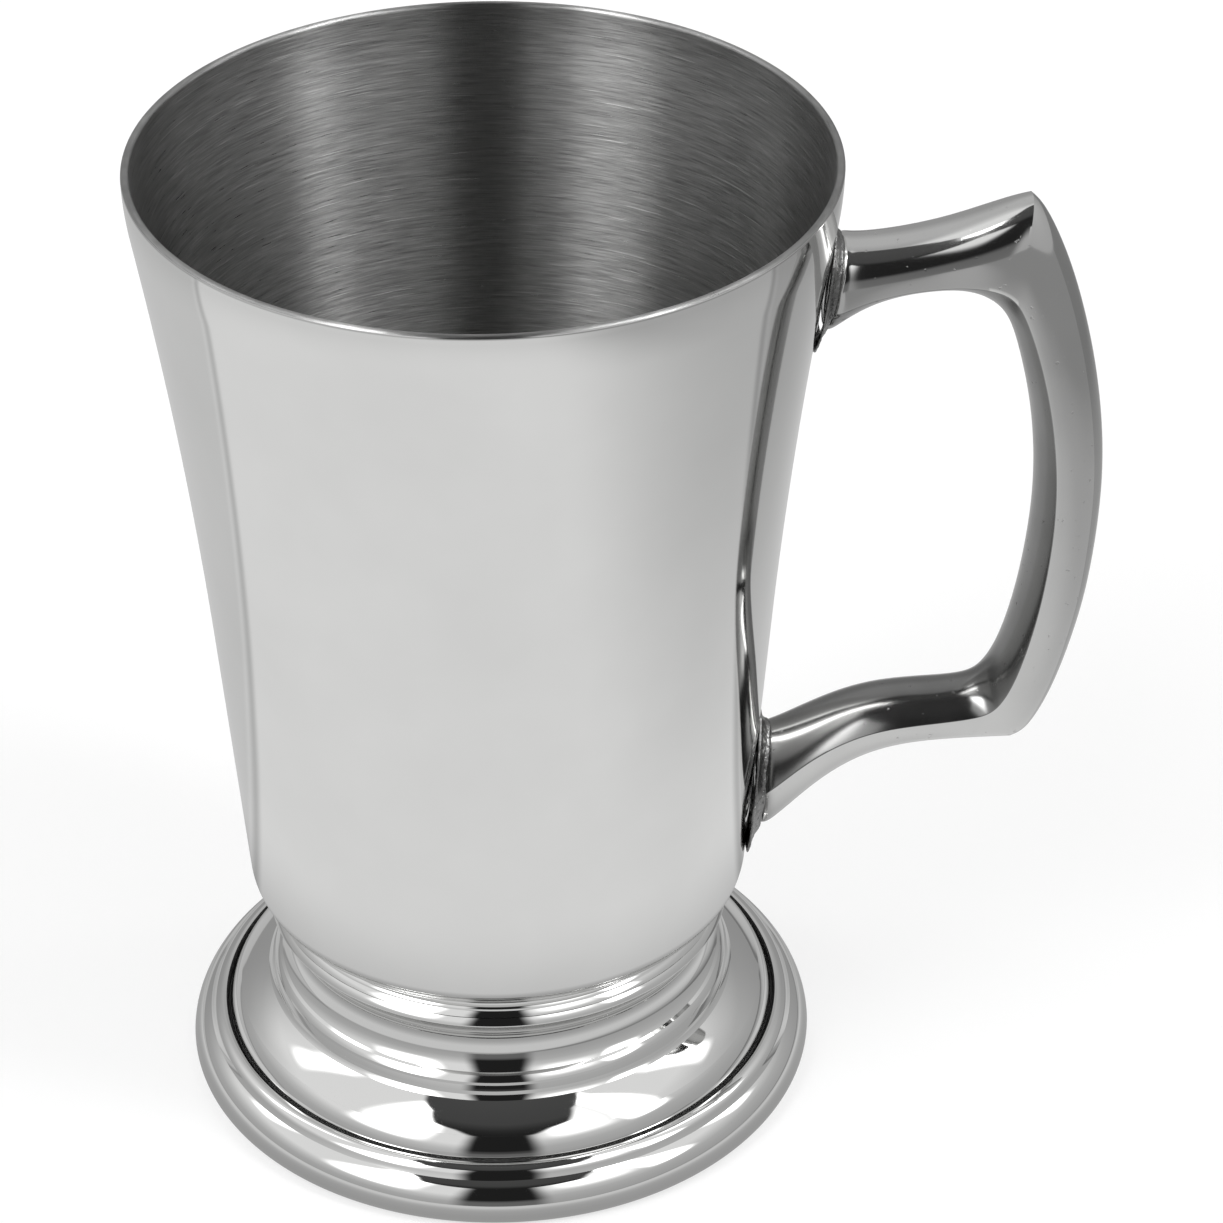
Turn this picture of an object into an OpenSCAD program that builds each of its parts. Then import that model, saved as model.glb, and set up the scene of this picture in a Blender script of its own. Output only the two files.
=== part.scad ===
// Footed one-pint tankard in polished pewter: a spun cup and foot, joined by a turned
// neck ring, with a cast handle soldered to the wall.
// Millimetres, +Z up. The origin is on the cup's axis, on the plane that the foot rests on.
// The handle lies in the XZ plane, on the +X side.

/* [Cup] */
// Outside diameter of the mouth
mouth_d = 95; // [94.5:0.1:95.5]
// Height of the rim above the resting plane
rim_z = 145.6; // [145:0.1:146.2]
// Height of the cup's underside above the resting plane
floor_z = 30.5; // [30.2:0.1:30.7]
// Thickness of the spun metal
wall = 1.15; // [0.8:0.05:1.4]
// Lean of the straight lower wall from the vertical, in degrees
wall_lean = 4.6; // [4.4:0.1:4.8]
// Lean of the wall just below the lip, in degrees
flare_lean = 9.4; // [9.2:0.1:9.6]
// Radius of the long curve that opens the wall into its flare
flare_r = 760; // [740:5:780]
// Radius of the curve that brings the lip upright
lip_r = 43.5; // [42:0.5:45]
// Outside radius of the rounded corner at the bottom
corner_r = 4.2; // [3.8:0.1:4.6]
// Rounding of the two edges of the rim
rim_round = 0.25; // [0.1:0.05:0.35]

/* [Neck ring] */
// Bore radius of the ring
neck_bore_r = 28; // [27:0.5:29]
// Height of the ring's seat on the foot
neck_seat_z = 25.4; // [25.3:0.1:25.4]
// Depth of the solder film over the ring
solder_film = 0.3; // [0.2:0.05:0.3]

/* [Foot] */
// Bore radius of the flange that carries the neck ring
flange_bore_r = 26; // [25:0.5:26.5]
// Outside radius of the skirt, inside the rim ring
skirt_r = 40.2; // [40.1:0.1:40.4]
// Height of the skirt's lower edge
skirt_z = 2; // [1.5:0.1:2.5]

/* [Foot rim] */
// Outside diameter of the rolled rim
rim_ring_d = 91.2; // [90.8:0.1:91.6]
// Outer radius of the flat that the rim stands on
rest_flat_r = 43.6; // [43:0.1:43.8]

/* [Handle] */
// Points around the handle's section
section_points = 20; // [16:2:28]
// Fullness of the handle's rounded outer side: 2 is an ellipse
fullness = 2.3; // [2:0.1:2.6]
// Rings between one station and the next
rings_per_span = 2; // [1:1:3]
// How far the solder shows around each end of the handle
solder_show = 1.3; // [0.8:0.1:1.8]

/* [Hidden] */
$fn = 96;
pewter = [0.78, 0.78, 0.77];
dull_solder = [0.55, 0.55, 0.55];

mouth_r = mouth_d / 2;
skirt_in_r = skirt_r - wall;
neck_r = 31.2;

// Curves of the turned profiles, each as [centre radius, centre height, curve radius, from, to]
neck_curves = [[30.14, 24.81, 3.57, 28, 46], [29.29, 25.22, 3.9, 34, 48], [30.06, 27.06, 2.26, 36, 52]];
cove = [36.17, 21.28, 5.9, 135.7, 225];
step_curves = [[29.07, 13.38, 4.84, 46, 34], [26.4, 11.44, 7.93, 32, 26], [36.83, 16.51, 3.9, 214, 226]];
dome_curves = [[25.48, -2.57, 18.43, 62, 46], [33.22, 5.44, 7.28, 46, 26], [35.8, 6.71, 4.4, 26, 0]];
roll_curves = [[-2.4, 2.4, 2.4, -80, 0], [-5.28, 1.94, 5.3, 5, 62], [-4.92, 6, 2.2, 20, 66]];

// Stations along the handle, from the upper joint to the lower one:
// [outer x, outer z, inner x, inner z, half width, where the widest line lies from the inner face]
stations = [
    [46.6, 133.2, 44.1, 117.4, 7.0, 0.42],
    [48.6, 132.8, 47.2, 120.0, 6.6, 0.38],
    [51.0, 132.7, 51.0, 122.9, 6.2, 0.33],
    [56.0, 133.3, 56.0, 124.9, 6.0, 0.28],
    [62.0, 134.8, 61.5, 125.5, 6.0, 0.25],
    [67.0, 136.7, 65.0, 124.8, 6.2, 0.25],
    [70.8, 138.2, 67.8, 123.2, 6.2, 0.25],
    [72.8, 138.8, 69.6, 121.2, 6.0, 0.25],
    [74.3, 137.4, 70.7, 119.0, 6.1, 0.25],
    [76.5, 133.4, 71.6, 116.2, 6.3, 0.25],
    [79.6, 125.6, 72.5, 112.8, 6.5, 0.25],
    [82.6, 114.0, 73.8, 107.0, 6.8, 0.25],
    [84.2, 103.5, 74.7, 100.0, 6.9, 0.25],
    [84.7, 95.0, 75.0, 93.5, 6.9, 0.25],
    [84.4, 86.5, 74.8, 87.0, 6.9, 0.25],
    [83.5, 77.0, 74.0, 79.5, 6.8, 0.25],
    [82.0, 69.5, 72.9, 73.0, 6.6, 0.25],
    [79.9, 61.5, 71.6, 68.0, 6.4, 0.26],
    [77.8, 56.3, 70.4, 65.0, 6.2, 0.28],
    [75.9, 52.9, 69.0, 62.9, 5.8, 0.31],
    [74.0, 52.1, 67.4, 61.6, 5.6, 0.34],
    [70.5, 52.2, 65.0, 60.9, 5.7, 0.36],
    [65.0, 52.2, 62.0, 60.6, 5.9, 0.38],
    [59.5, 51.8, 58.5, 60.5, 6.0, 0.4],
    [55.2, 50.8, 53.6, 60.0, 6.1, 0.4],
    [51.3, 49.1, 49.0, 58.6, 6.2, 0.4],
    [47.4, 46.4, 44.9, 56.7, 6.4, 0.4],
    [43.6, 42.8, 41.6, 55.1, 6.7, 0.42],
    [40.2, 39.2, 39.4, 54.2, 7.0, 0.44],
    [36.4, 36.0, 37.85, 54.0, 7.2, 0.46]];

// Points along an arc about a centre
function arc(centre, r, from, to, steps) =
    [for (i = [0 : steps]) let (a = from + (to - from) * i / steps) centre + r * [cos(a), sin(a)]];

// One side of the cup from the top of the wall to the axis, moved inwards by inset
lip_centre = [mouth_r - lip_r, rim_z];
flare_centre = lip_centre + (lip_r + flare_r) * [cos(flare_lean), -sin(flare_lean)];
taper_top = flare_centre - flare_r * [cos(wall_lean), -sin(wall_lean)];
corner_z = floor_z + corner_r;
taper_fall = (taper_top[1] - corner_z + corner_r * sin(wall_lean)) / cos(wall_lean);
corner_x = taper_top[0] - taper_fall * sin(wall_lean) - corner_r * cos(wall_lean);
function cup_side(inset) = concat(
    arc(lip_centre, lip_r - inset, -0.5, -flare_lean, 4),
    arc(flare_centre, flare_r + inset, 180 - flare_lean, 180 - wall_lean, 10),
    arc([corner_x, corner_z], corner_r - inset, -wall_lean, -90, 8),
    [[0, floor_z + inset]]);

// The points of some curves, each [centre radius, centre height, curve radius, from, to], moved in by inset
function drawn(curves, inset = 0, steps = 6) =
    [for (c = curves) each arc([c[0], c[1]], c[2] + (c[3] > 90 ? inset : -inset), c[3], c[4], steps)];

function reversed(list) = [for (i = [len(list) - 1 : -1 : 0]) list[i]];

// Catmull-Rom value between b and c
function blend(a, b, c, d, t) =
    0.5 * (2 * b + (c - a) * t + (2 * a - 5 * b + 4 * c - d) * t * t
        + (3 * b - a - 3 * c + d) * t * t * t);
function at(i) = stations[max(0, min(len(stations) - 1, i))];
handle_rings = [
    for (i = [0 : len(stations) - 2]) for (k = [0 : rings_per_span - 1])
        blend(at(i - 1), at(i), at(i + 1), at(i + 2), k / rings_per_span),
    at(len(stations) - 1)];

// A ring of points: a full curve towards the outer face and a shallow crown towards the inner one
function section(s) =
    let (outer = [s[0], 0, s[1]], inner = [s[2], 0, s[3]], widest = inner + (outer - inner) * s[5],
        k = 2 / fullness)
    [for (j = [0 : section_points - 1]) let (a = 360 * j / section_points, across = cos(a), deep = sin(a))
        deep > 0
            ? widest + [0, s[4] * sign(across) * pow(abs(across), k), 0] + pow(deep, k) * (outer - widest)
            : widest + [0, s[4] * across, 0] + deep * deep * (inner - widest)];

module revolved(points) {
    rotate_extrude() polygon(points);
}

// A sweep of equal rings of points, closed by a flat face at each end
module swept(rings) {
    n = len(rings[0]);
    sides = [for (i = [0 : len(rings) - 2]) for (j = [0 : n - 1])
        [i * n + j, i * n + (j + 1) % n, (i + 1) * n + (j + 1) % n, (i + 1) * n + j]];
    first = [for (j = [n - 1 : -1 : 0]) j];
    last = [for (j = [0 : n - 1]) (len(rings) - 1) * n + j];
    polyhedron([for (ring = rings) each ring], concat(sides, [first, last]));
}

// The cup without its hollow, to trim what lies against the wall
module cup_solid() {
    $fn = 256;
    revolved(concat([[0, rim_z]], [[mouth_r, rim_z]], cup_side(0)));
}

module cup_body() {
    outer = arc([mouth_r - rim_round, rim_z - rim_round], rim_round, 90, 0, 3);
    inner = arc([mouth_r - wall + rim_round, rim_z - rim_round], rim_round, 180, 90, 3);
    color(pewter) revolved(concat(outer, cup_side(0), reversed(cup_side(wall)), inner));
}

module neck_ring() {
    color(pewter) revolved(concat(
        [[neck_bore_r, neck_seat_z], [neck_r + 0.7, neck_seat_z], [neck_r + 1.9, neck_seat_z + 0.7],
            [neck_r + 2.1, neck_seat_z + 0.95]],
        drawn(neck_curves),
        [[neck_r, floor_z - solder_film], [neck_bore_r, floor_z - solder_film]]));
}

// The film between the neck ring and the cup, and the fillet in the corner under the ring
module neck_solder() {
    film_z = floor_z - solder_film;
    fillet = 1.2;
    color(dull_solder) {
        revolved([[neck_bore_r, film_z], [neck_r - 0.3, film_z],
            [neck_r - 0.3, floor_z], [neck_bore_r, floor_z]]);
        revolved([[neck_bore_r - fillet, neck_seat_z], [neck_bore_r, neck_seat_z],
            [neck_bore_r, neck_seat_z + fillet]]);
    }
}

module foot_shell() {
    flange_z = neck_seat_z - wall;
    outside = concat(
        [[flange_bore_r, neck_seat_z]],
        drawn([cove], 0, 14),
        drawn(step_curves, 0, 3),
        drawn(dome_curves),
        [[skirt_r, skirt_z]]);
    inside = concat(
        [[flange_bore_r, flange_z]],
        arc([cove[0], cove[1]], cove[2] + wall, 160, 225, 8),
        [[32, 15.2]],
        drawn(dome_curves, wall),
        [[skirt_in_r, skirt_z]]);
    color(pewter) revolved(concat(outside, reversed(inside)));
}

module foot_rim() {
    groove = 1.1;
    groove_z = 5.6;
    color(pewter) revolved(concat(
        [[skirt_in_r, 0], [rest_flat_r, 0]],
        drawn([for (c = roll_curves) [rim_ring_d / 2 + c[0], c[1], c[2], c[3], c[4]]]),
        [[skirt_r + groove, 7.8], [skirt_r + groove, groove_z + 0.7], [skirt_r + groove / 2, groove_z],
            [skirt_r, groove_z], [skirt_r, skirt_z], [skirt_in_r, skirt_z]]));
}

module rim_solder() {
    fillet = 0.9;
    color(dull_solder) revolved([[skirt_in_r, skirt_z - fillet], [skirt_in_r, skirt_z + fillet],
        [skirt_in_r - fillet, skirt_z]]);
}

module handle() {
    color(pewter) swept([for (s = handle_rings) section(s)]);
}

// An oval pad between the cup's wall and the flat end of the handle
module solder_pad(s) {
    reach = 3;
    outer = [s[0], s[1]];
    inner = [s[2], s[3]];
    upper = outer[1] > inner[1] ? outer : inner;
    lower = outer[1] > inner[1] ? inner : outer;
    lean = atan2(upper[0] - lower[0], upper[1] - lower[1]);
    middle = (upper + lower) / 2;
    half_h = norm(upper - lower) / 2 + solder_show;
    half_w = s[4] + solder_show;
    difference() {
        translate([middle[0], 0, middle[1]]) rotate([0, lean - 90, 0]) linear_extrude(reach)
            polygon([for (a = [0 : 10 : 350]) [half_h * cos(a), half_w * sin(a)]]);
        cup_solid();
    }
}

module upper_solder() {
    color(dull_solder) solder_pad(stations[0]);
}

module lower_solder() {
    color(dull_solder) solder_pad(stations[len(stations) - 1]);
}

cup_body();
neck_ring();
neck_solder();
foot_shell();
foot_rim();
rim_solder();
handle();
upper_solder();
lower_solder();
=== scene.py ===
import math
import random

import bpy
import bmesh
from mathutils import Matrix, Vector


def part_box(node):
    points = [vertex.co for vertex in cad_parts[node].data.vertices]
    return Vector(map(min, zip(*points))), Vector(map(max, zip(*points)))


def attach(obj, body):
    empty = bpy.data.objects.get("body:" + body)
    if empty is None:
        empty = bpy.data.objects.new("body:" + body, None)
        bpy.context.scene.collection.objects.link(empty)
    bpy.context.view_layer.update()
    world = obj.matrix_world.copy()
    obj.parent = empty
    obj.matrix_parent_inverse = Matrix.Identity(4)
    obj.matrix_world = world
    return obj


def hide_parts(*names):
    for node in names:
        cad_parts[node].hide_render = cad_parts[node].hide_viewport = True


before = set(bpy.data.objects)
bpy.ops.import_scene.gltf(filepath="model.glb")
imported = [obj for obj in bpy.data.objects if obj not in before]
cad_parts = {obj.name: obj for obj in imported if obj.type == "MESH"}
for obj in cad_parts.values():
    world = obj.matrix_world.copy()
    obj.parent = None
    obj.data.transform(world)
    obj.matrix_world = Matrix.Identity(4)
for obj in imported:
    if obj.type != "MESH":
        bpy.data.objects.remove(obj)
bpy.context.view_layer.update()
mm = 0.001
body = "root"
print("frame loaded:", sorted(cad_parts))

cupLow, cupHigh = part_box("cup_body")
ringLow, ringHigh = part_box("neck_ring")
footLow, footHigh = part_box("foot_shell")
rimLow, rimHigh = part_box("foot_rim")
handleLow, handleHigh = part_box("handle")


# camera, light and floor

cameraView = {
    "lens": 127.4,            # mm, on a 36 mm sensor
    "standBack": 0.5068,      # from the cup's axis
    "aboveRim": 0.2632,
    "turn": 1.88,             # degrees to the right
    "tilt": 33.46,            # degrees down
    "roll": -0.19,
}


def placeCamera():
    turn, tilt, roll = (math.radians(cameraView[k]) for k in ("turn", "tilt", "roll"))
    forward = Vector((math.sin(turn) * math.cos(tilt), math.cos(turn) * math.cos(tilt), -math.sin(tilt)))
    right = Vector((math.cos(turn), -math.sin(turn), 0))
    up = right.cross(forward)
    sideways = right * math.cos(roll) + up * math.sin(roll)
    upright = up * math.cos(roll) - right * math.sin(roll)
    place = Vector((0, -cameraView["standBack"], cupHigh.z + cameraView["aboveRim"]))
    data = bpy.data.cameras.new("camera")
    data.lens = cameraView["lens"]
    data.sensor_width = 36
    data.clip_start = 0.01
    camera = bpy.data.objects.new("camera", data)
    bpy.context.scene.collection.objects.link(camera)
    turned = Matrix((sideways, upright, -forward)).transposed().to_4x4()
    camera.matrix_world = Matrix.Translation(place) @ turned
    bpy.context.scene.camera = camera


# node expressions

class Wire:
    # a socket that can be added, multiplied and so on, each time making a Math node

    def __init__(self, tree, socket=None):
        self.tree = tree
        self.socket = socket

    def add(self, kind, settings=None, inputs=None, output=0):
        node = self.tree.nodes.new(kind)
        for key, value in (settings or {}).items():
            if key == "stops":
                ramp = node.color_ramp
                while len(ramp.elements) < len(value):
                    ramp.elements.new(0.5)
                for element, (place, shade) in zip(ramp.elements, value):
                    element.position = place
                    element.color = (shade, shade, shade, 1)
            else:
                setattr(node, key, value)
        for key, value in (inputs or {}).items():
            if isinstance(value, Wire):
                self.tree.links.new(value.socket, node.inputs[key])
            else:
                node.inputs[key].default_value = value
        return Wire(self.tree, node.outputs[output] if len(node.outputs) else None)

    def maths(self, operation, *values):
        return self.add("ShaderNodeMath", {"operation": operation}, dict(enumerate(values)))

    def __add__(self, other):
        return self.maths("ADD", self, other)

    def __radd__(self, other):
        return self.maths("ADD", other, self)

    def __sub__(self, other):
        return self.maths("SUBTRACT", self, other)

    def __rsub__(self, other):
        return self.maths("SUBTRACT", other, self)

    def __mul__(self, other):
        return self.maths("MULTIPLY", self, other)

    def __rmul__(self, other):
        return self.maths("MULTIPLY", other, self)

    def __truediv__(self, other):
        return self.maths("DIVIDE", self, other)

    def __pow__(self, other):
        return self.maths("POWER", self, other)


def between(value, low, high):
    # 0 below low, 1 above high, and a soft change from one to the other
    return value.add("ShaderNodeMapRange", {"interpolation_type": "SMOOTHSTEP", "clamp": True},
                     {"Value": value, "From Min": low, "From Max": high})


studio = {
    # brightness at each height above the table, in degrees, for each part of the room
    "left": ((0, 0.60), (10, 0.66), (20, 0.86), (31, 1.2), (40, 1.2), (75, 1.2), (82, 0.14), (90, 0.12)),
    "right": ((0, 0.58), (10, 0.62), (22, 0.70), (33, 0.92), (44, 1.2), (75, 1.2), (82, 0.14), (90, 0.12)),
    "behind": ((0, 0.46), (20, 0.50), (40, 0.72), (60, 0.72), (90, 0.45)),
    "gap": ((0, 0.22), (11, 0.20), (18, 0.022), (54, 0.022), (62, 0.09), (90, 0.11)),
    # to each side of the camera, in hundreds of degrees, until it is the whole ceiling
    "gapWidth": ((0, 0.145), (53, 0.145), (57, 0.39), (66, 0.51), (75, 0.85), (80, 1.9)),
    "gapAzimuth": -1.5,
    "gapSoft": 4,
    # bright panels: azimuth from and to, height from and to, softness of the edges, strength
    "panels": ((-62, -38, 30, 76, 9, 8.0), (58, 70, 32, 76, 6, 13.0), (22, 50, 40, 76, 8, 1.6),
               (100, 110, 36, 62, 4, 4.0), (-112, -102, 36, 62, 4, 3.0)),
    "behindFrom": (112, 150),     # where the sides of the room turn into the back
    "seenBehind": 0.93,
}


def byHeight(height, stops):
    ramp = height.add("ShaderNodeValToRGB", {"stops": [(degrees / 90, light / 2) for degrees, light in stops]},
                      {"Fac": height / 90}, "Color")
    return ramp * 2


def blend(first, second, amount):
    return first * (1 - amount) + second * amount


def buildStudio():
    world = bpy.data.worlds.new("studio")
    world.use_nodes = True
    world.node_tree.nodes.clear()
    start = Wire(world.node_tree)
    direction = start.add("ShaderNodeTexCoord", output="Generated")
    split = start.add("ShaderNodeSeparateXYZ", inputs={0: direction})
    x, y, z = (Wire(start.tree, split.socket.node.outputs[i]) for i in range(3))
    azimuth = start.maths("ARCTAN2", x, -1 * y) * (180 / math.pi)
    height = start.maths("ARCSINE", z) * (180 / math.pi)
    light = blend(byHeight(height, studio["left"]), byHeight(height, studio["right"]), between(azimuth, -12, 12))
    back = between(start.maths("ABSOLUTE", azimuth), *studio["behindFrom"])
    light = blend(light, byHeight(height, studio["behind"]), back)
    fromGap = start.maths("ABSOLUTE", azimuth - studio["gapAzimuth"])
    width = byHeight(height, studio["gapWidth"]) * 100
    inGap = 1 - between(fromGap - width, -studio["gapSoft"], studio["gapSoft"])
    light = blend(light, byHeight(height, studio["gap"]), inGap)
    for fromAzimuth, toAzimuth, low, top, edge, strength in studio["panels"]:
        across = between(azimuth, fromAzimuth - edge, fromAzimuth + edge)
        across = across * (1 - between(azimuth, toAzimuth - edge, toAzimuth + edge))
        along = between(height, low - edge, low + edge) * (1 - between(height, top - edge, top + edge))
        light = light + across * along * strength * (1 - inGap)
    seen = start.add("ShaderNodeLightPath", output="Is Camera Ray")
    background = start.add("ShaderNodeBackground", inputs={"Strength": blend(light, studio["seenBehind"], seen)})
    start.add("ShaderNodeOutputWorld", inputs={"Surface": background})
    bpy.context.scene.world = world
    bpy.context.scene.view_settings.view_transform = "Standard"


table = {
    "front": 0.76,             # how bright the polished metal sees the table
    "behind": 0.60,
    "far": (0.62, 60, 200),    # it falls off to the right, from 60 mm to 200 mm
    "darkLine": (34, 9, 0.34),     # a soft dark line across it, its width and its depth
    "foot": (44, 80, 0.55),    # shade close to the foot
    "distance": (190, 420, 0.62),    # and it is darker far off
}


def buildFloor():
    bpy.ops.mesh.primitive_plane_add(size=8, location=(0, 0, -0.05 * mm))
    floor = bpy.context.object
    floor.name = "floor"
    material = bpy.data.materials.new("pale_table")
    material.use_nodes = True
    material.node_tree.nodes.clear()
    start = Wire(material.node_tree)
    place = start.add("ShaderNodeTexCoord", output="Object")
    split = start.add("ShaderNodeSeparateXYZ", inputs={0: place})
    x, y = (Wire(start.tree, split.socket.node.outputs[i]) * 1000 for i in range(2))
    lineAt, lineWidth, lineDepth = table["darkLine"]
    light = blend(table["front"], table["behind"] + 0 * x, between(y, lineAt, lineAt + 14))
    fall, near, far = table["far"]
    light = light * (1 - (1 - fall) * between(x, near, far))
    offLine = start.maths("ABSOLUTE", y - lineAt)
    light = light * (1 - lineDepth * (1 - between(offLine, 0, lineWidth)))
    away = (x * x + y * y) ** 0.5
    footEdge, footClear, footShade = table["foot"]
    light = light * (footShade + (1 - footShade) * between(away, footEdge, footClear))
    nearEnd, farStart, farShade = table["distance"]
    light = light * (1 - (1 - farShade) * between(away, nearEnd, farStart))
    # in reflections the table is an emission: painted light and shade, with painted shade close to the foot
    mirrored = start.add("ShaderNodeEmission", inputs={"Strength": light})
    plain = start.add("ShaderNodeBsdfDiffuse", inputs={"Color": (0.9, 0.9, 0.9, 1)})
    lifted = start.add("ShaderNodeEmission", inputs={"Strength": 1.06})
    plain = start.add("ShaderNodeMixShader", inputs={0: 0.6, 1: plain, 2: lifted})
    glossy = start.add("ShaderNodeLightPath", output="Is Glossy Ray")
    shader = start.add("ShaderNodeMixShader", inputs={0: glossy, 1: plain, 2: mirrored})
    start.add("ShaderNodeOutputMaterial", inputs={"Surface": shader})
    floor.data.materials.append(material)


placeCamera()
buildStudio()
buildFloor()
print("camera, light and floor placed")


# modelling helpers

def deselectAll():
    if bpy.context.mode != "OBJECT":
        bpy.ops.object.mode_set(mode="OBJECT")
    bpy.ops.object.select_all(action="DESELECT")


def arc(centre, radius, fromAngle, toAngle, step=6):
    # points along an arc, at most step degrees apart
    steps = max(1, math.ceil(abs(toAngle - fromAngle) / step))
    angles = [math.radians(fromAngle + (toAngle - fromAngle) * i / steps) for i in range(steps + 1)]
    return [(centre[0] + radius * math.cos(a), centre[1] + radius * math.sin(a)) for a in angles]


def turned(name, profile, steps=256, sharpAbove=32):
    # a piece from the lathe: one point is drawn along the profile, then spun about the axis
    deselectAll()
    first = Vector((profile[0][0], 0, profile[0][1])) * mm
    bpy.ops.mesh.primitive_plane_add(size=mm, location=first, calc_uvs=False)
    piece = bpy.context.object
    piece.name = name
    bpy.ops.object.mode_set(mode="EDIT")
    bpy.ops.mesh.select_all(action="SELECT")
    bpy.ops.mesh.merge(type="CENTER")
    here = first
    for radius, height in profile[1:]:
        there = Vector((radius, 0, height)) * mm
        bpy.ops.mesh.extrude_region_move(TRANSFORM_OT_translate={"value": there - here})
        here = there
    bpy.ops.mesh.select_all(action="SELECT")
    bpy.ops.mesh.spin(steps=steps, angle=2 * math.pi, center=(0, 0, 0), axis=(0, 0, 1))
    bpy.ops.mesh.select_all(action="SELECT")
    bpy.ops.mesh.remove_doubles(threshold=1e-6)
    bpy.ops.mesh.select_all(action="SELECT")
    bpy.ops.mesh.normals_make_consistent(inside=False)
    bpy.ops.object.mode_set(mode="OBJECT")
    finishPiece(piece, sharpAbove)
    return piece


def finishPiece(piece, sharpAbove=32):
    deselectAll()
    piece.select_set(True)
    bpy.context.view_layer.objects.active = piece
    bpy.ops.object.transform_apply(location=True, rotation=True, scale=True)
    bpy.ops.object.shade_smooth_by_angle(angle=math.radians(sharpAbove))
    piece.select_set(False)


def join(piece, material, slotName, *nodes):
    piece.data.materials.append(material)
    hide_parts(*nodes)
    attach(piece, body)


# finishes

def newMaterial(name):
    material = bpy.data.materials.new(name)
    material.use_nodes = True
    material.node_tree.nodes.clear()
    return material, Wire(material.node_tree)


def roundCoords(start, around, along):
    # coordinates that run round the axis and up it, so a pattern can be drawn out into rings
    place = start.add("ShaderNodeTexCoord", output="Object")
    split = start.add("ShaderNodeSeparateXYZ", inputs={0: place})
    x, y, z = (Wire(start.tree, split.socket.node.outputs[i]) for i in range(3))
    radius = (x * x + y * y + 1e-9) ** 0.5
    return start.add("ShaderNodeCombineXYZ", inputs={0: x / radius * around, 1: y / radius * around, 2: z * along})


def noise(start, where, scale, detail=2, rough=0.5):
    return start.add("ShaderNodeTexNoise", {"noise_dimensions": "3D"},
                     {"Vector": where, "Scale": scale, "Detail": detail, "Roughness": rough}, "Fac")


def bumped(start, height, strength, distance):
    return start.add("ShaderNodeBump", inputs={"Height": height, "Strength": strength, "Distance": distance})


def grey(start, value):
    return start.add("ShaderNodeCombineColor", inputs={0: value, 1: value, 2: value * 0.99})


polish = {
    "cup": {"shade": 0.84, "roughness": 0.04, "hairlines": 0.03, "haze": 0.03, "mottle": 0.10},
    "foot": {"shade": 0.70, "roughness": 0.025, "hairlines": 0.02, "haze": 0.02, "mottle": 0.05},
}


def polishedPewter(name, look):
    material, start = newMaterial(name)
    rings = roundCoords(start, 3, 900)
    place = start.add("ShaderNodeTexCoord", output="Object")
    hairlines = noise(start, rings, 1, 3, 0.6)
    clouds = noise(start, place, 45, 3, 0.55)
    waves = noise(start, place, 28, 1, 0.4)
    shade = look["shade"] - look["mottle"] * (clouds - 0.3)
    roughness = look["roughness"] + look["haze"] * clouds + look["hairlines"] * (hairlines - 0.5)
    height = waves + 0.02 * hairlines
    shader = start.add("ShaderNodeBsdfPrincipled", inputs={
        "Base Color": grey(start, shade), "Metallic": 1.0, "Roughness": roughness,
        "Normal": bumped(start, height, 0.08, 0.0006)})
    start.add("ShaderNodeOutputMaterial", inputs={"Surface": shader})
    return material


# the brushed satin of the inside is real, but its low shade, well under the polished outside, is painted shade
# inside the cup
brushed = {"shade": 0.40, "roughness": 0.31, "anisotropy": 1.0, "turn": 0.25}


def satinPewterShaded():
    material, start = newMaterial("satin_pewter_painted_shade")
    fine = noise(start, roundCoords(start, 9, 5200), 1, 2, 0.6)
    coarse = noise(start, roundCoords(start, 5, 1700), 1, 3, 0.7)
    scratches = between(noise(start, roundCoords(start, 4, 2600), 1, 1, 0.5), 0.66, 0.76)
    shade = brushed["shade"] + 0.34 * (coarse - 0.5) + 0.30 * (fine - 0.5) + 0.14 * scratches
    roughness = brushed["roughness"] + 0.16 * (fine - 0.5)
    height = 0.5 * fine + 0.5 * coarse + 0.5 * scratches
    shader = start.add("ShaderNodeBsdfPrincipled", inputs={
        "Base Color": grey(start, shade), "Metallic": 1.0, "Roughness": roughness,
        "Anisotropic": brushed["anisotropy"], "Anisotropic Rotation": brushed["turn"],
        "Normal": bumped(start, height, 0.20, 0.00025)})
    start.add("ShaderNodeOutputMaterial", inputs={"Surface": shader})
    return material


casting = {
    "outside": {"shade": 0.72, "clouds": 0.14, "roughness": 0.07, "pitted": 0.68},
    # the side facing the cup is rougher, and its much lower shade is painted shade between the handle and the cup
    "inside": {"shade": 0.30, "clouds": 0.18, "roughness": 0.14, "pitted": 0.68},
}


def castPewter(name, look):
    material, start = newMaterial(name)
    place = start.add("ShaderNodeTexCoord", output="Object")
    clouds = noise(start, place, 60, 3, 0.55)
    waves = noise(start, place, 90, 1, 0.4)
    pits = between(noise(start, place, 900, 2, 0.6), look["pitted"], look["pitted"] + 0.07)
    shade = look["shade"] - look["clouds"] * (clouds - 0.3) - 0.2 * look["shade"] * pits
    roughness = look["roughness"] + 0.04 * clouds + 0.25 * pits
    height = waves - 0.6 * pits
    shader = start.add("ShaderNodeBsdfPrincipled", inputs={
        "Base Color": grey(start, shade), "Metallic": 1.0, "Roughness": roughness,
        "Normal": bumped(start, height, 0.12, 0.0005)})
    start.add("ShaderNodeOutputMaterial", inputs={"Surface": shader})
    return material


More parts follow.
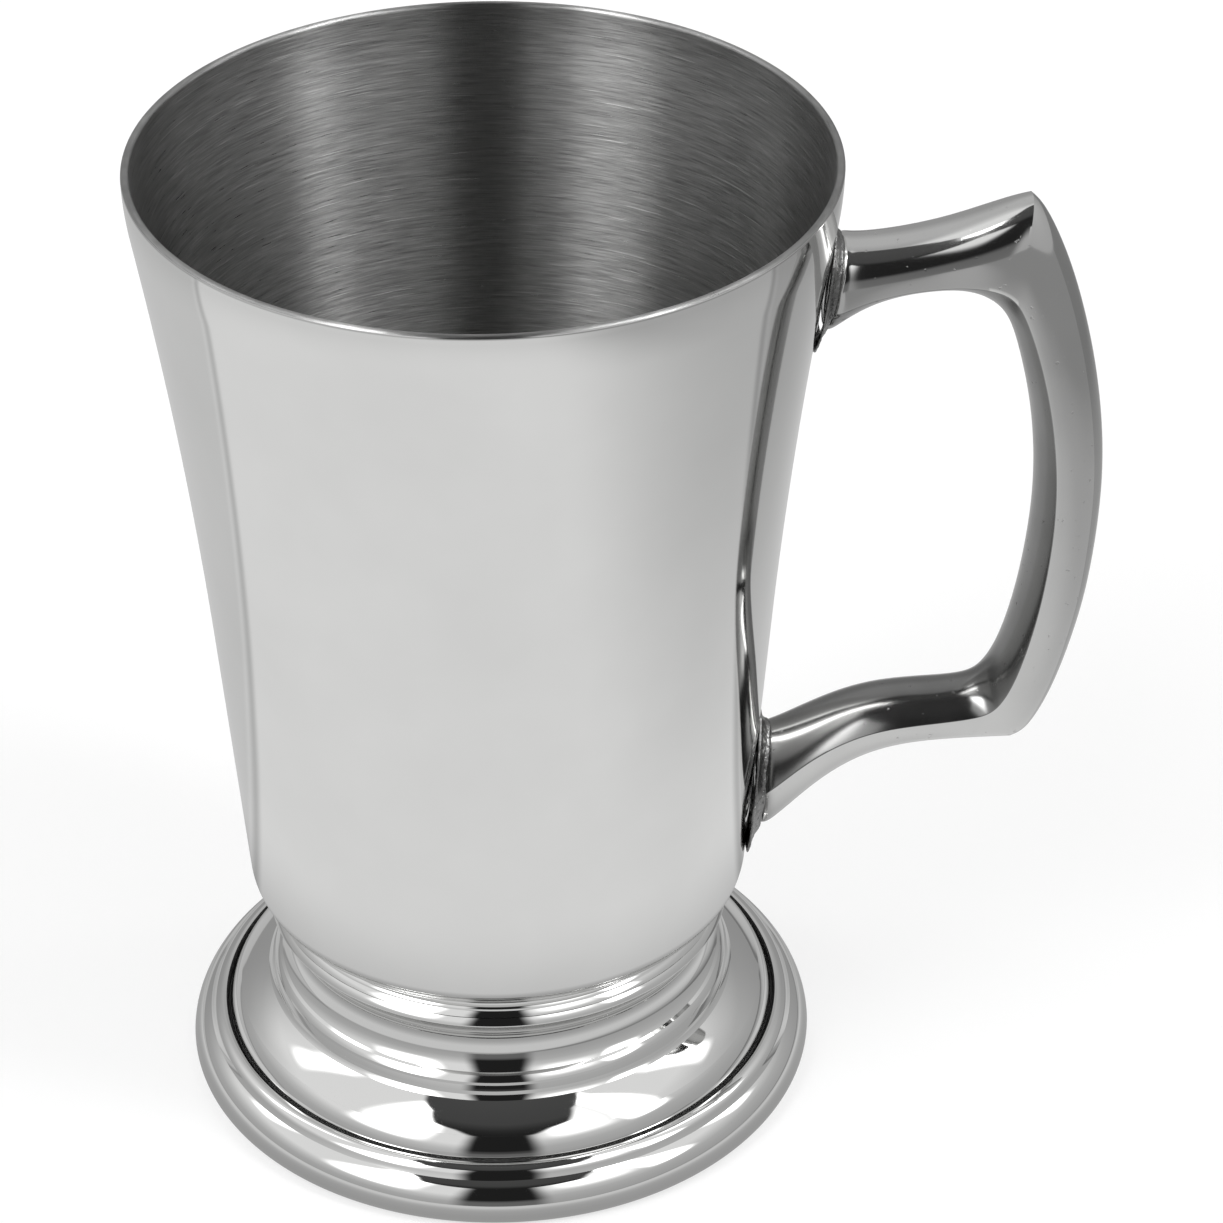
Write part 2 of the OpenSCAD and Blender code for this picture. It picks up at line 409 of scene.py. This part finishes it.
def dullSolder():
    material, start = newMaterial("dull_solder")
    place = start.add("ShaderNodeTexCoord", output="Object")
    lumps = noise(start, place, 700, 3, 0.6)
    pits = between(noise(start, place, 1600, 2, 0.6), 0.58, 0.72)
    shade = 0.16 + 0.16 * lumps - 0.14 * pits
    roughness = 0.16 + 0.24 * lumps
    shader = start.add("ShaderNodeBsdfPrincipled", inputs={
        "Base Color": grey(start, shade), "Metallic": 1.0, "Roughness": roughness,
        "Normal": bumped(start, lumps - pits, 0.35, 0.0003)})
    start.add("ShaderNodeOutputMaterial", inputs={"Surface": shader})
    return material


# painted shade: the groove's shadow drawn as a near-black, rough finish
def grooveShadeFinish():
    material, start = newMaterial("groove_painted_shade")
    place = start.add("ShaderNodeTexCoord", output="Object")
    shadeSpeckle = noise(start, place, 1200, 3, 0.6)
    shader = start.add("ShaderNodeBsdfPrincipled", inputs={
        "Base Color": grey(start, 0.05 + 0.1 * shadeSpeckle), "Metallic": 0.6, "Roughness": 0.5 + 0.2 * shadeSpeckle,
        "Normal": bumped(start, shadeSpeckle, 0.3, 0.0002)})
    start.add("ShaderNodeOutputMaterial", inputs={"Surface": shader})
    return material


polishedCup = polishedPewter("polished_pewter_cup", polish["cup"])
polished = polishedPewter("polished_pewter_foot", polish["foot"])
satinShaded = satinPewterShaded()
cast = castPewter("cast_pewter", casting["outside"])
castShadedInner = castPewter("cast_pewter_inner_side_painted_shade", casting["inside"])
solder = dullSolder()
groovePaintedShade = grooveShadeFinish()
print("finishes made")


# the cup

cup = {
    "wall": 1.15,
    "wallLean": 4.6,      # of the straight lower wall, in degrees
    "flareLean": 9.4,     # just below the lip
    "flareRadius": 760,
    "lipRadius": 43.5,
    "lipStart": 0.75,     # degrees down from the rim, where the rounded edge ends
    "cornerRadius": 4.2,
    "rimRound": 0.5,
}


def cupSide(inset):
    # from the top of the wall to the axis, moved inwards by inset
    mouth, rim, floor = cupHigh.x / mm, cupHigh.z / mm, cupLow.z / mm
    lean, flare = math.radians(cup["wallLean"]), math.radians(cup["flareLean"])
    lipCentre = (mouth - cup["lipRadius"], rim)
    reach = cup["lipRadius"] + cup["flareRadius"]
    flareCentre = (lipCentre[0] + reach * math.cos(flare), rim - reach * math.sin(flare))
    top = (flareCentre[0] - cup["flareRadius"] * math.cos(lean),
           flareCentre[1] + cup["flareRadius"] * math.sin(lean))
    cornerZ = floor + cup["cornerRadius"]
    fall = (top[1] - cornerZ + cup["cornerRadius"] * math.sin(lean)) / math.cos(lean)
    cornerX = top[0] - fall * math.sin(lean) - cup["cornerRadius"] * math.cos(lean)
    points = arc(lipCentre, cup["lipRadius"] - inset, -cup["lipStart"], -cup["flareLean"], 1)
    points += arc(flareCentre, cup["flareRadius"] + inset, 180 - cup["flareLean"], 180 - cup["wallLean"], 0.25)
    points += arc((cornerX, cornerZ), cup["cornerRadius"] - inset, -cup["wallLean"], -90, 4)
    points.append((0, floor + inset))
    return points


def makeCup():
    mouth, rim, wall, edge = cupHigh.x / mm, cupHigh.z / mm, cup["wall"], cup["rimRound"]
    outer = arc((mouth - edge, rim - edge), edge, 90, 0, 15)
    inner = arc((mouth - wall + edge, rim - edge), edge, 180, 90, 15)
    profile = cupSide(wall)[::-1] + inner + outer + cupSide(0)
    piece = turned("cup", profile)
    piece.data.materials.append(polishedCup)
    piece.data.materials.append(satinShaded)
    # the inside, its floor and the top of the lip take the satin, with its painted shade
    for face in piece.data.polygons:
        middle, normal = face.center, face.normal
        inward = middle.x * normal.x + middle.y * normal.y < 0
        onFloor = normal.z > 0.9 and middle.z < cupLow.z + 5 * mm
        onLip = normal.z > 0.5 and middle.z > cupHigh.z - 1 * mm
        face.material_index = 1 if inward or onFloor or onLip else 0
    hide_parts("cup_body")
    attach(piece, body)


def curves(rows, inset=0, step=4):
    # the points of some curves, each row a centre, a radius and the angles it runs between, moved in by inset
    points = []
    for x, z, radius, fromAngle, toAngle in rows:
        hollow = fromAngle > 90
        points += arc((x, z), radius + inset if hollow else radius - inset, fromAngle, toAngle, step)
    return points


# the neck ring

neckRing = {
    "bore": 28,
    "top": 31.2,
    "mouldings": [(30.14, 24.81, 3.57, 28, 46), (29.29, 25.22, 3.9, 34, 48), (30.06, 27.06, 2.26, 36, 52)],
}


def makeNeckRing():
    low, high, top = ringLow.z / mm, ringHigh.z / mm, neckRing["top"]
    profile = [(neckRing["bore"], low), (top + 0.7, low), (top + 1.9, low + 0.7), (top + 2.1, low + 0.95)]
    profile += curves(neckRing["mouldings"])
    profile += [(top, high), (neckRing["bore"], high), (neckRing["bore"], low)]
    join(turned("neck_ring_turned", profile, sharpAbove=14), polished, "polished_pewter", "neck_ring")


# the foot

foot = {
    "wall": 1.15,
    "flangeBore": 26,
    "skirt": 40.2,
    "cove": (36.17, 21.28, 5.9, 135.7, 225),
    "steps": [(29.07, 13.38, 4.84, 46, 34), (26.4, 11.44, 7.93, 32, 26), (36.83, 16.51, 3.9, 214, 226)],
    "dome": [(25.48, -2.57, 18.43, 62, 46), (33.22, 5.44, 7.28, 46, 26), (35.8, 6.71, 4.4, 26, 0)],
}


def makeFoot():
    wall, low, high = foot["wall"], footLow.z / mm, footHigh.z / mm
    coveX, coveZ, coveRadius = foot["cove"][:3]
    outside = [(foot["flangeBore"], high)] + curves([foot["cove"]]) + curves(foot["steps"], step=3)
    outside += curves(foot["dome"], step=2.5) + [(foot["skirt"], low)]
    inside = [(foot["flangeBore"], high - wall)] + arc((coveX, coveZ), coveRadius + wall, 160, 225, 6)
    inside += [(32, 15.2)] + curves(foot["dome"], wall) + [(foot["skirt"] - wall, low)]
    profile = outside + inside[::-1] + outside[:1]
    piece = turned("foot_spinning", profile, sharpAbove=14)
    join(piece, polished, "polished_pewter", "foot_shell")
    darken(piece, lambda radius, height: radius > foot["skirt"] - 0.12)


def darken(piece, inGroove):
    # painted shade: the dark, dull finish on the faces in the groove between the foot and its rim
    piece.data.materials.append(groovePaintedShade)
    for face in piece.data.polygons:
        if inGroove(face.center.xy.length / mm, face.center.z / mm):
            face.material_index = 1


rim = {
    "flat": 43.6,
    "groove": 0.5,
    "grooveFloor": 6.85,
    "roll": [(-2.4, 2.19, 2.4, -66, 5), (-5.28, 1.94, 5.3, 5, 60), (-4.92, 6, 2.2, 28, 80)],   # in from the edge
}


def makeRim():
    skirt, wall, seat, edge = foot["skirt"], foot["wall"], footLow.z / mm, rimHigh.x / mm
    groove, bottom = rim["groove"], rim["grooveFloor"]
    profile = [(skirt - wall, 0), (rim["flat"], 0)]
    profile += curves([(edge + row[0], *row[1:]) for row in rim["roll"]])
    profile += [(skirt + groove, 8.05), (skirt + 0.15, bottom), (skirt - 0.3, bottom), (skirt - 0.3, seat),
                (skirt - wall, seat), (skirt - wall, 0)]
    piece = turned("foot_rim_ring", profile, sharpAbove=14)
    join(piece, polished, "polished_pewter", "foot_rim")
    darken(piece, lambda radius, height: radius < skirt + groove + 0.1 and height > bottom - 0.1)


# the handle

handleStations = [
    # outer x, outer z, inner x, inner z, half width, where the widest line lies from the inner face
    (46.6, 133.2, 44.1, 117.4, 7, 0.42),
    (48.6, 132.8, 47.2, 120, 6.6, 0.38),
    (51, 132.7, 51, 122.9, 6.2, 0.33),
    (56, 133.3, 56, 124.9, 6, 0.28),
    (62, 134.8, 61.5, 125.5, 6, 0.25),
    (67, 136.7, 65, 124.8, 6.2, 0.25),
    (70.8, 138.2, 67.8, 123.2, 6.2, 0.25),
    (72.8, 138.8, 69.6, 121.2, 6, 0.25),
    (74.3, 137.4, 70.7, 119, 6.1, 0.25),
    (76.5, 133.4, 71.6, 116.2, 6.3, 0.25),
    (79.6, 125.6, 72.5, 112.8, 6.5, 0.25),
    (82.6, 114, 73.8, 107, 6.8, 0.25),
    (84.2, 103.5, 74.7, 100, 6.9, 0.25),
    (84.7, 95, 75, 93.5, 6.9, 0.25),
    (84.4, 86.5, 74.8, 87, 6.9, 0.25),
    (83.5, 77, 74, 79.5, 6.8, 0.25),
    (82, 69.5, 72.9, 73, 6.6, 0.25),
    (79.9, 61.5, 71.6, 68, 6.4, 0.26),
    (77.8, 56.3, 70.4, 65, 6.2, 0.28),
    (75.9, 52.9, 69, 62.9, 5.8, 0.31),
    (74, 52.1, 67.4, 61.6, 5.6, 0.34),
    (70.5, 52.2, 65, 60.9, 5.7, 0.36),
    (65, 52.2, 62, 60.6, 5.9, 0.38),
    (59.5, 51.8, 58.5, 60.5, 6, 0.4),
    (55.2, 50.8, 53.6, 60, 6.1, 0.4),
    (51.3, 49.1, 49, 58.6, 6.2, 0.4),
    (47.4, 46.4, 44.9, 56.7, 6.4, 0.4),
    (43.6, 42.8, 41.6, 55.1, 6.7, 0.42),
    (40.2, 39.2, 39.4, 54.2, 7, 0.44),
    (36.4, 36, 37.85, 54, 7.2, 0.46),
]
handle = {
    "sides": 16,          # points round the section
    "fullness": 2.3,      # of the rounded outer side: 2 is an ellipse
    "ridgeSharp": 0.55,
    "mitres": {7: 3, 20: 3},    # the stations at the two outer corners, and how far down the side the crease runs
}


def ringPoint(turnAngle):
    # one point of the section: +X is the outer side, and the inner side is a shallow crown
    c, s = math.cos(turnAngle), math.sin(turnAngle)
    if c > 0:
        power = 2 / handle["fullness"]
        return Vector((abs(c) ** power, math.copysign(abs(s) ** power, s), 0))
    return Vector((-c * c, s, 0))


def selectVerts(piece, wanted):
    # selects the vertices that wanted(vertex) says, and nothing else
    mesh = bmesh.from_edit_mesh(piece.data)
    mesh.verts.ensure_lookup_table()
    chosen = [vertex for vertex in mesh.verts if wanted(vertex)]
    for vertex in mesh.verts:
        vertex.select = False
    mesh.select_flush(False)
    for vertex in chosen:
        vertex.select_set(True)
    mesh.select_flush(True)
    bmesh.update_edit_mesh(piece.data)


def makeHandle():
    deselectAll()
    sides = handle["sides"]
    bpy.ops.mesh.primitive_circle_add(vertices=sides, radius=1, calc_uvs=False)
    piece = bpy.context.object
    piece.name = "handle_casting"
    for index, vertex in enumerate(piece.data.vertices):
        vertex.co = ringPoint(2 * math.pi * index / sides)
    bpy.ops.object.mode_set(mode="EDIT")
    for station in handleStations:
        outerX, outerZ, innerX, innerZ, halfWidth, widest = station
        outer, inner = Vector((outerX, 0, outerZ)) * mm, Vector((innerX, 0, innerZ)) * mm
        depth, lean = (outer - inner).length, math.atan2(outerZ - innerZ, outerX - innerX)
        selectVerts(piece, lambda v: v.index < sides)
        bpy.ops.mesh.duplicate()
        bpy.ops.transform.resize(value=(depth * (1 - widest), halfWidth * mm, 1), center_override=(0, 0, 0))
        selectVerts(piece, lambda v: v.select and v.index >= sides)
        count = len(bmesh.from_edit_mesh(piece.data).verts)
        selectVerts(piece, lambda v: v.index >= count - sides and v.co.x < -1e-9)
        bpy.ops.transform.resize(value=(widest / (1 - widest), 1, 1), center_override=(0, 0, 0))
        selectVerts(piece, lambda v: v.index >= count - sides)
        bpy.ops.transform.rotate(value=lean, orient_axis="Y", center_override=(0, 0, 0))
        bpy.ops.transform.translate(value=inner.lerp(outer, widest))
    selectVerts(piece, lambda v: v.index < sides)
    bpy.ops.mesh.delete(type="VERT")
    bpy.ops.mesh.select_all(action="SELECT")
    bpy.ops.mesh.bridge_edge_loops()
    for station in (0, len(handleStations) - 1):
        selectVerts(piece, lambda v: v.index // sides == station)
        bpy.ops.mesh.edge_face_add()
    creaseHandle(piece)
    bpy.ops.mesh.select_all(action="SELECT")
    bpy.ops.mesh.normals_make_consistent(inside=False)
    bpy.ops.object.mode_set(mode="OBJECT")
    # faces on the side toward the cup take the darker copy, which carries painted shade
    for face in piece.data.polygons:
        places = [index % sides for index in face.vertices]
        facesCup = min(places) >= sides // 4 and max(places) <= sides * 3 // 4
        face.material_index = 1 if facesCup and len(places) == 4 else 0
    smooth = piece.modifiers.new("smooth", "SUBSURF")
    smooth.levels = smooth.render_levels = 3
    bpy.ops.object.modifier_apply(modifier=smooth.name)
    finishPiece(piece, 20)
    join(piece, cast, "cast_pewter", "handle")
    piece.data.materials.append(castShadedInner)


def creaseHandle(piece):
    # the two ridges run the whole length, and the outer corners are mitred part of the way down each side
    sides = handle["sides"]
    mesh = bmesh.from_edit_mesh(piece.data)
    creases = mesh.edges.layers.float.new("crease_edge")
    for edge in mesh.edges:
        first, second = (vertex.index for vertex in edge.verts)
        if first % sides == second % sides and first % sides in (sides // 4, sides * 3 // 4):
            edge[creases] = handle["ridgeSharp"]
        if first // sides == second // sides and first // sides in handle["mitres"]:
            reach = handle["mitres"][first // sides]
            steps = max(min(v % sides, sides - v % sides) for v in (first, second))
            if steps <= reach:
                edge[creases] = 1.0
    bmesh.update_edit_mesh(piece.data)


# the solder where the handle meets the cup

joints = {
    # the handle's station inside the wall, the step along it, how far the solder spreads on each
    "upper_solder_bead": {"node": "upper_solder", "end": 0, "step": 1, "onWall": 1.5, "onHandle": 1.0},
    "lower_solder_bead": {"node": "lower_solder", "end": 29, "step": -1, "onWall": 2.4, "onHandle": 1.4},
}
bead = {
    "around": 120,
    "hollowSteps": 8,
    "buried": 0.5,
    "waviness": 0.22,
    "lumpSize": 0.0009,
    "lumpHeight": 0.0002,
}


def wallRadius(height):
    side = cupSide(0)
    for (upperR, upperZ), (lowerR, lowerZ) in zip(side, side[1:]):
        if lowerZ <= height <= upperZ:
            return lowerR + (upperR - lowerR) * (height - lowerZ) / max(upperZ - lowerZ, 1e-6)
    return side[0][0] if height > side[0][1] else 0


def handlePoint(station, turnAngle):
    # where the handle's surface is, in mm
    outerX, outerZ, innerX, innerZ, halfWidth, widest = handleStations[station]
    outer, inner = Vector((outerX, 0, outerZ)), Vector((innerX, 0, innerZ))
    across = (outer - inner).normalized()
    point = ringPoint(turnAngle)
    depth = (outer - inner).length * (1 - widest if point.x > 0 else widest)
    return inner.lerp(outer, widest) + across * point.x * depth + Vector((0, point.y * halfWidth, 0))


def meetsWall(joint, turnAngle):
    # the point where the handle's surface goes into the wall, and the way it leaves it
    station = joint["end"]
    while True:
        here, there = handlePoint(station, turnAngle), handlePoint(station + joint["step"], turnAngle)
        clear = math.hypot(there.x, there.y) - wallRadius(there.z)
        if clear > 0:
            break
        station += joint["step"]
    sunk = wallRadius(here.z) - math.hypot(here.x, here.y)
    place = here.lerp(there, max(0, sunk) / (max(0, sunk) + clear))
    return place, (there - here).normalized()


def makeBead(name, joint):
    deselectAll()
    random.seed(name)
    waves = [(ripples, random.uniform(0, 2 * math.pi)) for ripples in (2, 3, 5, 8, 13, 21)]
    around, steps, buried = bead["around"], bead["hollowSteps"], -bead["buried"]
    angles = [math.pi / 2 * i / steps for i in range(steps + 1)]
    section = [(1 - math.sin(a), 1 - math.cos(a)) for a in angles]
    section += [(buried, 1), (buried, buried), (1, buried)]
    bpy.ops.mesh.primitive_torus_add(major_segments=around, minor_segments=len(section))
    piece = bpy.context.object
    piece.name = name
    joins = [meetsWall(joint, 2 * math.pi * i / around) for i in range(around)]
    centre = sum((place for place, leaving in joins), Vector()) / around
    for index, (place, leaving) in enumerate(joins):
        outward = Vector((place.x, place.y, -0.08 * place.x)).normalized()
        spread = place - centre
        spread = (spread - outward * spread.dot(outward)).normalized()
        turnAngle = 2 * math.pi * index / around
        swell = sum(math.sin(ripples * turnAngle + phase) / ripples ** 0.5 for ripples, phase in waves)
        width = 1 + bead["waviness"] * swell / 2
        for corner, (alongWall, alongHandle) in enumerate(section):
            along = spread * alongWall * joint["onWall"] + leaving * alongHandle * joint["onHandle"]
            point = place + along * width
            piece.data.vertices[index * len(section) + corner].co = point * mm
    bpy.ops.object.mode_set(mode="EDIT")
    bpy.ops.mesh.select_all(action="SELECT")
    bpy.ops.mesh.normals_make_consistent(inside=False)
    bpy.ops.object.mode_set(mode="OBJECT")
    smooth = piece.modifiers.new("smooth", "SUBSURF")
    smooth.levels = smooth.render_levels = 2
    bpy.ops.object.modifier_apply(modifier=smooth.name)
    lumps = bpy.data.textures.new(name + "_lumps", "CLOUDS")
    lumps.noise_scale = bead["lumpSize"]
    lumps.noise_depth = 3
    rough = piece.modifiers.new("lumps", "DISPLACE")
    rough.texture = lumps
    rough.strength = bead["lumpHeight"]
    bpy.ops.object.modifier_apply(modifier=rough.name)
    finishPiece(piece, 60)
    join(piece, solder, "solder", joint["node"])


makeCup()
makeNeckRing()
makeFoot()
makeRim()
makeHandle()
for beadName, joint in joints.items():
    makeBead(beadName, joint)
for nodeName in ("neck_solder", "rim_solder"):
    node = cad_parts[nodeName]
    node.data.materials.clear()
    node.data.materials.append(solder)
print("pieces made")
